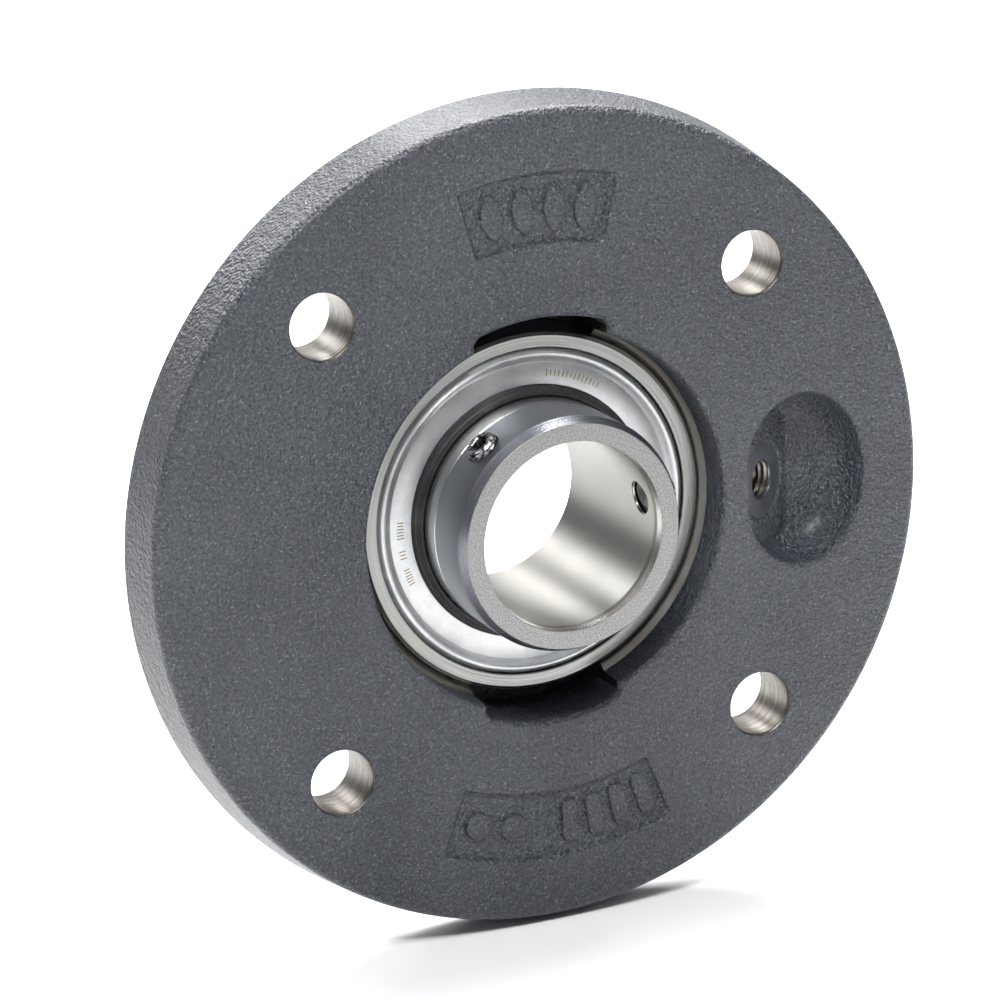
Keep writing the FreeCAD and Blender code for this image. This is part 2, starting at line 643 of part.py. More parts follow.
# ---- checks and export ------------------------------------------------------------------------
for thing in doc.Objects:
    if "Invalid" in thing.State or "Error" in thing.State:
        raise ValueError("%s did not build: %s" % (thing.Name, thing.State))
for name, thing in nodes.items():
    shape = thing.Shape
    if shape.isNull() or not shape.isValid() or len(shape.Solids) != 1:
        raise ValueError("%s has no good single solid" % name)
    thing.Label = name
for name, thing in nodes.items():
    thing.Shape.exportStep("parts/%s.step" % name)
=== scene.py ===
"""Round flanged housing unit with an insert ball bearing, as a small add-on.

Each operator builds one piece or group of pieces in the frame of the engineering model:
shaft axis along Y, front towards -Y, mounting face at y = 0, Z up. Sizes in the property
groups are millimetres; meshes are metres.
"""
import math

import bmesh
import bpy
import numpy as np
from mathutils import Matrix, Vector


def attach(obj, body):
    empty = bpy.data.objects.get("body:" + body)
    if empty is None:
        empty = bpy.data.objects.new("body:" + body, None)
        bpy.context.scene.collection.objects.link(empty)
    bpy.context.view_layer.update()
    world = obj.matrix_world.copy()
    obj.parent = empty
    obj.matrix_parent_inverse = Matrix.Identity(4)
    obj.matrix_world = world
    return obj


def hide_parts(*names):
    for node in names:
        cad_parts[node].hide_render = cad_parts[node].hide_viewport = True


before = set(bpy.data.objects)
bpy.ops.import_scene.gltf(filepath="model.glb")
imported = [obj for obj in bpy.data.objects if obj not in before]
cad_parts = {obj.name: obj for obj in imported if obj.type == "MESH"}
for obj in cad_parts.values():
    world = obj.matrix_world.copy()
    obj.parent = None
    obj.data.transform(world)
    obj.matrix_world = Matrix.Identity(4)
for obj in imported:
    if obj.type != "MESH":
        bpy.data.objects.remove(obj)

bl_info = {
    "name": "Flange bearing unit",
    "version": (1, 0, 0),
    "blender": (4, 5, 0),
    "location": "View3D > Sidebar > Bearing",
    "description": "Builds a round flanged housing unit with an insert ball bearing",
    "category": "Object",
}

MM = 0.001
MERGE_M = 2e-7              # vertices closer than this after a cut are one
BAD_EDGES_ALLOWED = 40

# sizes inside the bearing and of its threads, in millimetres
PITCH_R = 33.0
BALL_R = 5.953
BALL_PLAY = 0.02
RACE_R = 6.19
RACE_STEPS = 12
OUTER_SHOULDER_R = 37.6
SEAL_SEAT_LEN = 3.1
WASHER_FACE = 9.5           # bearing middle to the washer's flat face
TICK_R = 33.9
SCREW_TURNS = (129.5, 9.5)  # degrees about the shaft axis
SCREW_FROM_END = 9.6
SCREW_GAP = 0.8             # bore to the screw's cup point
SCREW_PITCH = 1.25
PORT_PITCH = 1.5
THREAD_DEEP = 0.55
DUCT_R = 1.4
DUCT_END = 26.5

BOLT_TURNS = [math.radians(45 + 90 * k) for k in range(4)]
PAINT, MACHINED, DRILLED, SPOT_FACE = range(4)

# the camera's place in metres, and its sideways and upward directions
CAMERA_PLACE = (-0.4616, -1.0093, 0.3399)
CAMERA_RIGHT = (0.9066, -0.4208, -0.0330)
CAMERA_UP = (0.1515, 0.2514, 0.9559)
FLOOR_REACH = 4000


# ---- settings ----
def size(name, description, default):
    """A length in millimetres."""
    return bpy.props.FloatProperty(name=name, description=description, default=default, min=0.0,
                                   soft_max=300.0, precision=3)


class BEARING_PG_housing(bpy.types.PropertyGroup):
    front: size("Flange thickness", "Mounting face to front face", 15.5)
    back_r: size("Rear radius", "Flange radius at the mounting face", 101.2)
    front_r: size("Front radius", "Flange radius where rim meets fillet", 99.5)
    rim_round: size("Rim fillet", "Fillet between rim and front face", 2.2)
    open_r: size("Opening radius", "Cast opening at the front", 46.5)
    recess_r: size("Recess radius", "Bottom of the cast opening", 46.1)
    recess_depth: size("Recess depth", "Front face to the machined lead", 8.3)
    seat_y: size("Seat centre", "Sphere centre behind the mounting face", 4.0)
    seat_r: size("Seat radius", "Radius of the spherical seat", 45.05)
    seat_half: size("Seat half width", "Half the width of the spherical seat", 8.8)
    spigot_r: size("Spigot radius", "Radius of the centring spigot", 65.0)
    hub_r: size("Hub radius", "Radius of the hub behind the spigot", 57.5)
    hub_len: size("Hub length", "Mounting face to the hub's end", 17.0)
    bolt_circle: size("Bolt circle radius", "Shaft axis to each bolt hole", 78.25)
    bolt_r: size("Bolt hole radius", "Radius of each bolt hole", 7.85)
    slot_half: size("Slot half width", "Half the width of each loading slot", 17.3)
    slot_r: size("Slot radius", "Radius of the loading slots' floor", 49.5)
    panel_in: size("Panel inner radius", "Inner radius of the sunken panels", 67.3)
    panel_out: size("Panel outer radius", "Outer radius of the sunken panels", 84.6)
    panel_depth: size("Panel depth", "Depth of the sunken panels", 0.9)
    pocket_x: size("Pocket place", "Shaft axis to the pocket's middle", 68.3)
    pocket_rx: size("Pocket half width", "Half width of the pocket across the flange", 16.0)
    pocket_rz: size("Pocket half height", "Half height of the pocket", 21.1)
    pocket_deep: size("Bowl depth", "Bowl's depth before levelling", 14.0)
    pocket_floor: size("Pocket floor", "Front face to the pocket's level floor", 10.5)
    pocket_skim: size("Spot face skim", "Skim of the spot face on the slope", 0.5)
    port_x: size("Port place", "Shaft axis to the port's mouth", 59.0)
    port_deep: size("Port depth", "Front face to the port's mouth", 4.5)
    face_r: size("Spot face radius", "Radius of the flat face round the port", 9.5)
    port_r: size("Port radius", "Radius inside the port's thread", 4.3)
    port_len: size("Port length", "Length of the threaded port", 11.0)
    port_angle: bpy.props.FloatProperty(
        name="Port angle", description="Lean of the port from the flange's plane",
        default=math.radians(55), subtype="ANGLE", unit="ROTATION")


class BEARING_PG_insert(bpy.types.PropertyGroup):
    ring_r: size("Outer ring radius", "Radius of the spherical outside", 45.0)
    ring_half: size("Ring half width", "Half the width of the outer ring", 10.5)
    ring_face: size("Ring face radius", "Outer radius of the ring's flat faces", 43.1)
    seal_seat: size("Seal seat radius", "Radius of the seal's seat in the ring", 40.2)
    bore_r: size("Bore radius", "Radius of the inner ring's bore", 22.5)
    inner_r: size("Inner ring radius", "Outside radius of the inner ring", 28.6)
    nose: size("Nose reach", "Bearing middle to the ring's front end", 33.2)
    tail: size("Tail reach", "Bearing middle to the ring's rear end", 16.0)
    screw_r: size("Screw radius", "Outside radius of the set screws' thread", 3.95)
    screw_len: size("Screw length", "Length of each set screw", 7.0)
    hex_across: size("Hex size", "Width across the flats of the hex socket", 4.0)


class BEARING_PG_stage(bpy.types.PropertyGroup):
    floor_shade: bpy.props.FloatProperty(name="Floor shade", description="Paleness of the floor",
                                         default=0.9, min=0.0, max=1.0)
    lens: bpy.props.FloatProperty(name="Lens", description="Focal length of the camera",
                                  default=175.1, unit="CAMERA")


# ---- shader and geometry node helpers ----
class Wire:
    """One output socket, so that node maths reads as ordinary maths."""

    def __init__(self, graph, socket):
        self.graph = graph
        self.socket = socket

    def op(self, operation, *others):
        return self.graph.math(operation, self, *others)

    def __add__(self, other):
        return self.op("ADD", other)

    def __sub__(self, other):
        return self.op("SUBTRACT", other)

    def __mul__(self, other):
        return self.op("MULTIPLY", other)

    def __truediv__(self, other):
        return self.op("DIVIDE", other)

    def __pow__(self, other):
        return self.op("POWER", other)

    def __rsub__(self, other):
        return self.graph.math("SUBTRACT", other, self)

    def __neg__(self):
        return self.op("MULTIPLY", -1.0)

    __radd__ = __add__
    __rmul__ = __mul__

    def step(self, low, high):
        """0 below low, 1 above high, smooth between (reversed when high is the lower one)."""
        node = self.graph.node("ShaderNodeMapRange", {"interpolation_type": "SMOOTHSTEP"},
                               {"Value": self, "From Min": low, "From Max": high})
        return self.graph.out(node, "Result")


class Graph:
    """A node tree under construction."""

    def __init__(self, tree):
        self.tree = tree
        self.tree.nodes.clear()

    @staticmethod
    def find(sockets, key):
        if isinstance(key, int):
            return sockets[key]
        for socket in sockets:
            if socket.enabled and key in (socket.identifier, socket.name):
                return socket
        raise KeyError(key)

    def node(self, kind, settings=None, inputs=None):
        """A node of one type: its settings first, then its socket values and links."""
        made = self.tree.nodes.new(kind)
        for key, value in (settings or {}).items():
            setattr(made, key, value)
        for key, value in (inputs or {}).items():
            socket = self.find(made.inputs, key)
            if isinstance(value, Wire):
                self.tree.links.new(value.socket, socket)
            else:
                socket.default_value = value
        return made

    def out(self, node, key=0):
        return Wire(self, self.find(node.outputs, key))

    def math(self, operation, *values):
        node = self.node("ShaderNodeMath", {"operation": operation}, dict(enumerate(values)))
        return self.out(node)

    def mix(self, factor, a, b):
        """Colour a where factor is 0, colour b where it is 1."""
        node = self.node("ShaderNodeMix", {"data_type": "RGBA"},
                         {"Factor_Float": factor, "A_Color": a, "B_Color": b})
        return self.out(node, "Result_Color")

    def vector(self, x, y, z):
        return self.out(self.node("ShaderNodeCombineXYZ", None, {0: x, 1: y, 2: z}))


class Surface(Graph):
    """A material: object coordinates at hand, one Principled shader at the end."""

    def __init__(self, name):
        self.material = bpy.data.materials.new(name)
        self.material.use_nodes = True
        super().__init__(self.material.node_tree)
        place = self.node("ShaderNodeTexCoord")
        self.place = self.out(place, "Object")
        parts = self.node("ShaderNodeSeparateXYZ", None, {0: self.place})
        self.x, self.y, self.z = (self.out(parts, i) for i in range(3))

    def noise(self, scale, detail=2.0, rough=0.5, vector=None):
        node = self.node("ShaderNodeTexNoise", None,
                         {"Vector": vector or self.place, "Scale": scale, "Detail": detail,
                          "Roughness": rough})
        return self.out(node, 0)

    def cells(self, scale, feature="F1"):
        node = self.node("ShaderNodeTexVoronoi", {"feature": feature},
                         {"Vector": self.place, "Scale": scale})
        return self.out(node, "Distance")

    def radius(self):
        return (self.x * self.x + self.z * self.z) ** 0.5

    def lathe(self, per_metre, wander=1.4):
        """Coordinates that run along the turned marks: fine across them, slow along them."""
        r = self.radius() + 1e-5
        return self.vector(self.x / r * wander, self.z / r * wander,
                           (self.y + self.radius() * 1.37) * per_metre)

    def finish(self, constants, varied, height=None, depth=0.0001):
        inputs = dict(constants)
        inputs.update(varied)
        if height is not None:
            bump = self.node("ShaderNodeBump", None,
                             {"Height": height, "Distance": depth, "Strength": 1.0})
            inputs["Normal"] = self.out(bump, "Normal")
        shader = self.node("ShaderNodeBsdfPrincipled", None, inputs)
        self.node("ShaderNodeOutputMaterial", None, {"Surface": self.out(shader, "BSDF")})
        return self.material


def painted_iron():
    """Semi-gloss dark blue-grey paint over sand-cast iron, with painted shade in the grain's
    hollows, painted highlight on its crests and painted glints.
    """
    s = Surface("cast_housing_paint")
    grain_and_shade = s.noise(1350.0, 2.0, 0.55)
    lumps = s.noise(560.0, 2.0, 0.55)
    pits = s.cells(1500.0, "SMOOTH_F1")
    clouds = s.noise(26.0, 3.0, 0.6)
    # Small bright specks painted into the colour as painted highlights, with a lower roughness.
    painted_glints = s.cells(1250.0).step(0.34, 0.20) * s.noise(900.0).step(0.50, 0.58)
    tone = s.mix(clouds.step(0.3, 0.7), (0.031, 0.036, 0.046, 1), (0.042, 0.048, 0.060, 1))
    # Painted shade darkens the grain's hollows and painted highlight lightens its crests; the same
    # grain noise also raises the bump.
    tone = s.mix(grain_and_shade.step(0.50, 0.38) * 0.75, tone, (0.012, 0.015, 0.019, 1))
    tone = s.mix(grain_and_shade.step(0.57, 0.68) * 0.42, tone, (0.135, 0.145, 0.16, 1))
    tone = s.mix(painted_glints * 0.42, tone, (0.30, 0.32, 0.36, 1))
    rough = 0.27 + clouds * 0.08 + grain_and_shade * 0.12 - painted_glints * 0.12
    height = grain_and_shade * 0.8 + lumps * 0.9 + pits * 0.35
    return s.finish({"Metallic": 0.0, "IOR": 1.5, "Coat Roughness": 0.22},
                    {"Base Color": tone, "Roughness": rough, "Coat Weight": clouds * 0.35},
                    height, 0.001)


def smooth_paint():
    """The same paint over a face that was machined before painting."""
    s = Surface("cast_housing_spot_face")
    sweep = s.noise(1.0, 2.0, 0.5, s.vector(s.x * 260.0, s.y * 260.0, s.z * 900.0))
    clouds = s.noise(150.0, 3.0, 0.6)
    tone = s.mix(clouds.step(0.3, 0.7), (0.034, 0.038, 0.045, 1), (0.050, 0.055, 0.064, 1))
    return s.finish({"Metallic": 0.0, "IOR": 1.5},
                    {"Base Color": tone, "Roughness": 0.36 + clouds * 0.12},
                    sweep + clouds, 0.00009)


def turned_metal(name, dark, light, rough, marks=2600.0, bump=0.000012, stain=None):
    """Bare metal with fine marks that run round the shaft axis."""
    s = Surface(name)
    lines = s.noise(1.0, 3.0, 0.65, s.lathe(marks))
    broad = s.noise(1.0, 2.0, 0.5, s.lathe(marks * 0.22, 2.6))
    smudge = s.noise(55.0, 3.0, 0.6)
    grit = s.noise(2600.0, 2.0, 0.6)
    tone = s.mix(lines.step(0.3, 0.7), dark + (1,), light + (1,))
    if stain:
        tone = s.mix(smudge.step(0.52, 0.78) * 0.45, tone, stain + (1,))
    roughness = rough + (lines - 0.5) * 0.16 + (smudge - 0.5) * 0.14 + (broad - 0.5) * 0.08
    return s.finish({"Metallic": 1.0}, {"Base Color": tone, "Roughness": roughness},
                    lines * 0.7 + broad * 0.5 + grit * 0.3, bump)


def drilled_metal():
    """Bare iron where a drill has passed along the shaft direction, its tone held dark as painted
    shade inside the holes.
    """
    s = Surface("cast_housing_drilled")
    streak = s.vector(s.x * 120.0, s.y * 2300.0, s.z * 120.0)
    lines = s.noise(1.0, 3.0, 0.7, streak)
    smudge = s.noise(240.0, 3.0, 0.6)
    # The tone is kept darker than bare iron, as painted shade inside the bolt holes and the port.
    tone = s.mix(lines.step(0.28, 0.72), (0.08, 0.07, 0.06, 1), (0.30, 0.28, 0.25, 1))
    tone = s.mix(smudge.step(0.5, 0.8) * 0.4, tone, (0.20, 0.16, 0.13, 1))
    return s.finish({"Metallic": 1.0}, {"Base Color": tone, "Roughness": 0.27 + lines * 0.18},
                    lines, 0.00007)


def inner_ring_steel():
    """Ground steel: a bright band by the seal, a duller turned outside, a fine-grained end face
    painted darker as painted shade, and a bore painted darker as painted shade.
    """
    s = Surface("bearing_steel_inner_ground")
    r = s.radius()
    lines = s.noise(1.0, 3.0, 0.65, s.lathe(3000.0))
    grain_and_shade = s.noise(2500.0, 3.0, 0.65)
    smudge = s.noise(70.0, 3.0, 0.6)
    outside = r.step(0.02835, 0.02850)
    ahead = s.y.step(-0.01345, -0.01365)
    end = s.y.step(-0.02905, -0.02915)
    bore = r.step(0.02275, 0.02262)
    nose = ahead * r.step(0.0274, 0.0276) * (1.0 - outside)
    tone = s.mix(lines.step(0.3, 0.7), (0.44, 0.44, 0.45, 1), (0.60, 0.60, 0.61, 1))
    tone = s.mix(outside * ahead * 0.85, tone, (0.37, 0.39, 0.43, 1))
    tone = s.mix(nose * 0.8, tone, (0.50, 0.51, 0.58, 1))
    # The end face is painted darker as painted shade that dims its reflection; its speckle follows
    # a real fine grain.
    tone = s.mix(end * (0.55 + grain_and_shade.step(0.35, 0.65) * 0.45), tone, (0.195, 0.195, 0.190, 1))
    # The bore is painted darker as painted shade inside the ring.
    tone = s.mix(bore, tone, (0.235, 0.228, 0.213, 1))
    rough = (0.24 + (lines - 0.5) * 0.12 + (smudge - 0.5) * 0.10 + outside * ahead * 0.10
             + end * 0.16 + bore * 0.13)
    return s.finish({"Metallic": 1.0}, {"Base Color": tone, "Roughness": rough},
                    lines * (1.0 - end) + grain_and_shade * end * 1.6, 0.000014)


def zinc():
    """Bright zinc plate on pressed sheet, faintly clouded."""
    s = Surface("zinc_washer_plate")
    clouds = s.noise(90.0, 4.0, 0.6)
    grain_and_shade = s.noise(1700.0, 2.0, 0.6)
    rings = s.noise(1.0, 2.0, 0.6, s.lathe(900.0, 0.8))
    tone = s.mix(clouds.step(0.35, 0.7), (0.55, 0.56, 0.57, 1), (0.70, 0.71, 0.71, 1))
    tone = s.mix(grain_and_shade.step(0.5, 0.75) * 0.3, tone, (0.46, 0.46, 0.46, 1))
    return s.finish({"Metallic": 1.0},
                    {"Base Color": tone, "Roughness": 0.30 + clouds * 0.14 + rings * 0.08},
                    grain_and_shade * 0.6 + rings * 0.7, 0.000016)


def rubber():
    """Black moulded nitrile with a faint bloom."""
    s = Surface("seal_rubber_black")
    bloom = s.noise(140.0, 3.0, 0.6)
    skin = s.noise(2400.0, 2.0, 0.6)
    tone = s.mix(bloom.step(0.45, 0.75), (0.010, 0.010, 0.011, 1), (0.030, 0.030, 0.032, 1))
    return s.finish({"Metallic": 0.0, "IOR": 1.5},
                    {"Base Color": tone, "Roughness": 0.42 + bloom * 0.2}, skin, 0.00003)


def moulded_cage():
    """Glass-filled nylon with short fibres just under the skin."""
    s = Surface("cage_plastic_nylon")
    fibre = s.noise(1.0, 3.0, 0.7, s.vector(s.x * 500.0, s.y * 2600.0, s.z * 500.0))
    skin = s.noise(900.0, 2.0, 0.5)
    tone = s.mix(fibre.step(0.5, 0.75), (0.030, 0.033, 0.036, 1), (0.062, 0.066, 0.070, 1))
    return s.finish({"Metallic": 0.0, "IOR": 1.53},
                    {"Base Color": tone, "Roughness": 0.40 + skin * 0.15}, fibre, 0.00002)


def ball_steel():
    """Lapped chrome steel under a thin film of grease."""
    s = Surface("ball_steel_lapped")
    film = s.noise(260.0, 3.0, 0.6)
    haze = s.noise(2200.0, 2.0, 0.5)
    tone = s.mix(film.step(0.4, 0.75), (0.74, 0.75, 0.76, 1), (0.63, 0.60, 0.52, 1))
    return s.finish({"Metallic": 1.0},
                    {"Base Color": tone, "Roughness": 0.05 + film * 0.10,
                     "Coat Weight": film * 0.4}, haze, 0.000004)


def screw_steel():
    """Blackened alloy steel with rubbed patches; the bright patches are painted only on the head
    standing out of the ring, as painted highlight.
    """
    s = Surface("screw_steel_black_oxide")
    wear_and_highlight = s.noise(900.0, 3.0, 0.65)
    grit = s.noise(3200.0, 2.0, 0.6)
    lit_head = s.radius().step(0.0278, 0.0292)
    # Painted highlight: bright patches on the head that stands out of the ring, following the
    # rubbed wear noise; the part in the hole stays black.
    tone = s.mix(wear_and_highlight.step(0.40, 0.60) * (0.04 + lit_head * 0.96), (0.030, 0.031, 0.033, 1),
                 (0.62, 0.62, 0.63, 1))
    return s.finish({"Metallic": 1.0}, {"Base Color": tone, "Roughness": 0.26 + wear_and_highlight * 0.2},
                    wear_and_highlight * 0.6 + grit * 0.4, 0.00002)


def etched():
    """Straw-brown tint of a surface mark on plated steel."""
    s = Surface("zinc_washer_mark")
    burn = s.noise(2600.0, 3.0, 0.6)
    tone = s.mix(burn.step(0.35, 0.7), (0.17, 0.11, 0.025, 1), (0.33, 0.23, 0.07, 1))
    return s.finish({"Metallic": 0.6}, {"Base Color": tone, "Roughness": 0.42 + burn * 0.2},
                    burn, 0.00001)


def floor_material(shade):
    s = Surface("stage_floor")
    mottle = s.noise(9.0, 3.0, 0.5)
    tone = s.mix(mottle, (shade, shade, shade, 1), (shade * 0.985, shade * 0.985, shade * 0.99, 1))
    return s.finish({}, {"Base Color": tone, "Roughness": 0.6 + mottle * 0.1})


# ---- mesh helpers ----
def smoothstep(value):
    value = np.clip(value, 0.0, 1.0)
    return value * value * (3.0 - 2.0 * value)


def rounded(corners, steps=5, support=0.2):
    """A closed outline with its corners rounded. Each corner is (x, y, fillet radius); a fillet
    is held between two extra points so that the long faces beside it stay flat."""
    out = []
    for i, (x, y, radius) in enumerate(corners):
        here = Vector((x, y))
        if not radius:
            out.append((x, y))
            continue
        back = Vector(corners[i - 1][:2]) - here
        ahead = Vector(corners[(i + 1) % len(corners)][:2]) - here
        reach = 0.45 * min(back.length, ahead.length)
        back.normalize()
        ahead.normalize()
        half = back.angle(ahead) / 2
        cut = min(radius / math.tan(half), reach)
        centre = here + (back + ahead).normalized() * (cut / math.cos(half))
        start, stop = here + back * cut, here + ahead * cut
        first = math.atan2(start.y - centre.y, start.x - centre.x)
        sweep = math.atan2(stop.y - centre.y, stop.x - centre.x) - first
        sweep = (sweep + math.pi) % (2 * math.pi) - math.pi
        true_r = (start - centre).length
        if cut + support < reach / 0.9:
            out.append(tuple(here + back * (cut + support)))
        for k in range(steps + 1):
            turn = first + sweep * k / steps
            out.append((centre.x + true_r * math.cos(turn), centre.y + true_r * math.sin(turn)))
        if cut + support < reach / 0.9:
            out.append(tuple(here + ahead * (cut + support)))
    return out


def linked(name, data):
    """A new object in the scene."""
    obj = bpy.data.objects.new(name, data)
    bpy.context.scene.collection.objects.link(obj)
    return obj


def make_object(name, vertices, faces):
    """A mesh object in the row frame, from millimetres, with its normals outwards."""
    mesh = bpy.data.meshes.new(name)
    mesh.from_pydata((np.asarray(vertices, float) * MM).tolist(), [], faces)
    work = bmesh.new()
    work.from_mesh(mesh)
    bmesh.ops.recalc_face_normals(work, faces=work.faces)
    if work.calc_volume(signed=True) < 0:
        bmesh.ops.reverse_faces(work, faces=work.faces)
    work.to_mesh(mesh)
    work.free()
    return linked(name, mesh)


def turned(name, outline, turns, lift=None, lifted=0):
    """A closed outline of (radius, y) turned about Y. The first `lifted` points have their y
    moved by lift(x, z)."""
    outline = np.array(outline, float)
    turns = np.radians(np.asarray(turns, float))
    x = outline[:, 0][:, None] * np.cos(turns)
    z = outline[:, 0][:, None] * np.sin(turns)
    y = np.repeat(outline[:, 1][:, None], len(turns), axis=1)
    if lifted:
        y[:lifted] += lift(x[:lifted], z[:lifted])
    vertices = np.stack([x, y, z], axis=2).reshape(-1, 3)
    rows, columns = len(outline), len(turns)
    faces = []
    for i in range(rows):
        a, b = i * columns, ((i + 1) % rows) * columns
        for j in range(columns):
            k = (j + 1) % columns
            faces.append((a + j, a + k, b + k, b + j))
    return make_object(name, vertices, faces)


def even_turns(count):
    return [360.0 * i / count for i in range(count)]


def tube_faces(rows, count):
    """Faces of rows of points laid one after another, with both ends capped."""
    faces = []
    for i in range(rows - 1):
        for j in range(count):
            k = (j + 1) % count
            a, b = i * count, (i + 1) * count
            faces.append((a + j, a + k, b + k, b + j))
    last = (rows - 1) * count
    return faces + [tuple(range(count)), tuple(range(last, last + count))]


def rod(name, rows, base, direction, count=48):
    """A closed rod. Each row is (distance along, radius or function of turn) in millimetres."""
    direction = Vector(direction).normalized()
    side = direction.orthogonal().normalized()
    across = direction.cross(side)
    vertices = []
    for along, radius in rows:
        for j in range(count):
            turn = 2 * math.pi * j / count
            r = radius(turn, along) if callable(radius) else radius
            point = (Vector(base) + direction * along + side * (r * math.cos(turn))
                     + across * (r * math.sin(turn)))
            vertices.append(tuple(point))
    return make_object(name, vertices, tube_faces(len(rows), count))


def thread_rows(start, stop, low, high, pitch, limit=None, per_pitch=10):
    """Rows of a helical thread between two radii; limit(along) caps the radius."""
    def radius(turn, along):
        phase = (along / pitch - turn / (2 * math.pi)) % 1.0
        crest = min(1.0, max(0.0, 1.35 - 3.4 * abs(phase - 0.5)))
        r = low + (high - low) * crest
        return min(r, limit(along)) if limit else r
    count = max(2, int(round((stop - start) / pitch * per_pitch)))
    return [(start + (stop - start) * i / count, radius) for i in range(count + 1)]


def prism(name, outline, levels):
    """A closed outline in X and Z, stacked at (y, outward offset) levels."""
    outline = np.array(outline, float)
    ahead = np.roll(outline, -1, axis=0) - np.roll(outline, 1, axis=0)
    normal = np.stack([ahead[:, 1], -ahead[:, 0]], axis=1)
    normal /= np.linalg.norm(normal, axis=1)[:, None]
    vertices = []
    for y, offset in levels:
        for x, z in outline + normal * offset:
            vertices.append((x, y, z))
    return make_object(name, vertices, tube_faces(len(levels), len(outline)))


def join(objects):
    """Several separate closed meshes as one object."""
    work = bmesh.new()
    for obj in objects:
        work.from_mesh(obj.data)
    work.to_mesh(objects[0].data)
    work.free()
    for obj in objects[1:]:
        bpy.data.objects.remove(obj)
    return objects[0]


def plain_mesh(obj):
    """A new mesh of an object as its modifiers leave it."""
    bpy.context.view_layer.update()
    seen = obj.evaluated_get(bpy.context.evaluated_depsgraph_get())
    return bpy.data.meshes.new_from_object(seen)


def cut_away(obj, cutters):
    """Cuts closed meshes out of another. A result that is empty, uncut, or has more than
    BAD_EDGES_ALLOWED edges not shared by exactly two faces is an error."""
    cutter = join(cutters)
    tool = obj.modifiers.new("cut", "BOOLEAN")
    tool.operation = "DIFFERENCE"
    tool.solver = "MANIFOLD"
    tool.object = cutter
    mesh = plain_mesh(obj)
    obj.modifiers.remove(tool)
    before = len(obj.data.polygons)
    obj.data = mesh
    bpy.data.objects.remove(cutter)
    work = bmesh.new()
    work.from_mesh(mesh)
    bmesh.ops.remove_doubles(work, verts=work.verts, dist=MERGE_M)
    bad = sum(1 for edge in work.edges if not edge.is_manifold)
    work.to_mesh(mesh)
    work.free()
    if len(mesh.polygons) < 12 or len(mesh.polygons) == before or bad > BAD_EDGES_ALLOWED:
        raise RuntimeError("%s: cut left %d faces, %d bad edges"
                           % (obj.name, len(mesh.polygons), bad))


def shade(obj, materials, choose=None, sharp=32.0):
    """Smooth shading with sharp edges kept, and a material for each face."""
    mesh = obj.data
    mesh.materials.clear()
    for material in materials:
        mesh.materials.append(material)
    mesh.polygons.foreach_set("use_smooth", np.ones(len(mesh.polygons), bool))
    mesh.set_sharp_from_angle(angle=math.radians(sharp))
    if choose:
        count = len(mesh.polygons)
        centres = np.zeros(count * 3)
        normals = np.zeros(count * 3)
        mesh.polygons.foreach_get("center", centres)
        mesh.polygons.foreach_get("normal", normals)
        picked = choose(centres.reshape(-1, 3) / MM, normals.reshape(-1, 3))
        mesh.polygons.foreach_set("material_index", np.asarray(picked, np.int32))
    mesh.update()


def settle(obj, body, slot, *nodes):
    """Hangs a finished piece on its body, in place of the plain nodes it stands for."""
    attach(obj, body)
    if nodes:
        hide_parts(*nodes)
    return obj


def dress(node, material):
    """Gives a kept node its material."""
    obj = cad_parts[node]
    obj.data.materials.clear()
    obj.data.materials.append(material)
    obj.data.polygons.foreach_set("material_index", np.zeros(len(obj.data.polygons), np.int32))


# ---- repeated pieces on an arc ----
def arc_row_tree():
    """A node group: copies of one shape spaced along an arc about the shaft axis."""
    tree = bpy.data.node_groups.new("arc_row", "GeometryNodeTree")
    face = tree.interface
    face.new_socket("Geometry", in_out="OUTPUT", socket_type="NodeSocketGeometry")
    ids = {}
    for name, kind in (("Shape", "Object"), ("Count", "Int"), ("Radius", "Float"),
                       ("Face", "Float"), ("Start", "Float"), ("Sweep", "Float"),
                       ("Variation", "Float"), ("Seed", "Int"), ("Finish", "Material")):
        socket = face.new_socket(name, in_out="INPUT", socket_type="NodeSocket" + kind)
        ids[name] = socket.identifier
    g = Graph(tree)
    given = g.node("NodeGroupInput")
    points = g.node("GeometryNodePoints", None, {"Count": g.out(given, "Count")})
    index = g.out(g.node("GeometryNodeInputIndex"))
    gaps = g.math("MAXIMUM", g.out(given, "Count") - 1.0, 1.0)
    turn = g.out(given, "Start") + g.out(given, "Sweep") * index / gaps
    radius = g.out(given, "Radius")
    spot = g.vector(radius * turn.op("COSINE"), g.out(given, "Face"), radius * turn.op("SINE"))
    placed = g.node("GeometryNodeSetPosition", None,
                    {"Geometry": g.out(points), "Position": spot})
    shape = g.node("GeometryNodeObjectInfo", None, {"Object": g.out(given, "Shape")})
    spread = g.out(given, "Variation")
    chance = g.node("FunctionNodeRandomValue", {"data_type": "FLOAT"},
                    {"Min": 1.0 - spread, "Max": 1.0, "Seed": g.out(given, "Seed")})
    scale = g.vector(g.out(chance, "Value"), 1.0, 1.0)
    copies = g.node("GeometryNodeInstanceOnPoints", None,
                    {"Points": g.out(placed), "Instance": g.out(shape, "Geometry"),
                     "Rotation": g.vector(0.0, -turn, 0.0), "Scale": scale})
    real = g.node("GeometryNodeRealizeInstances", None, {"Geometry": g.out(copies)})
    final = g.node("GeometryNodeSetMaterial", None,
                   {"Geometry": g.out(real), "Material": g.out(given, "Finish")})
    g.node("NodeGroupOutput", None, {"Geometry": g.out(final)})
    return tree, ids


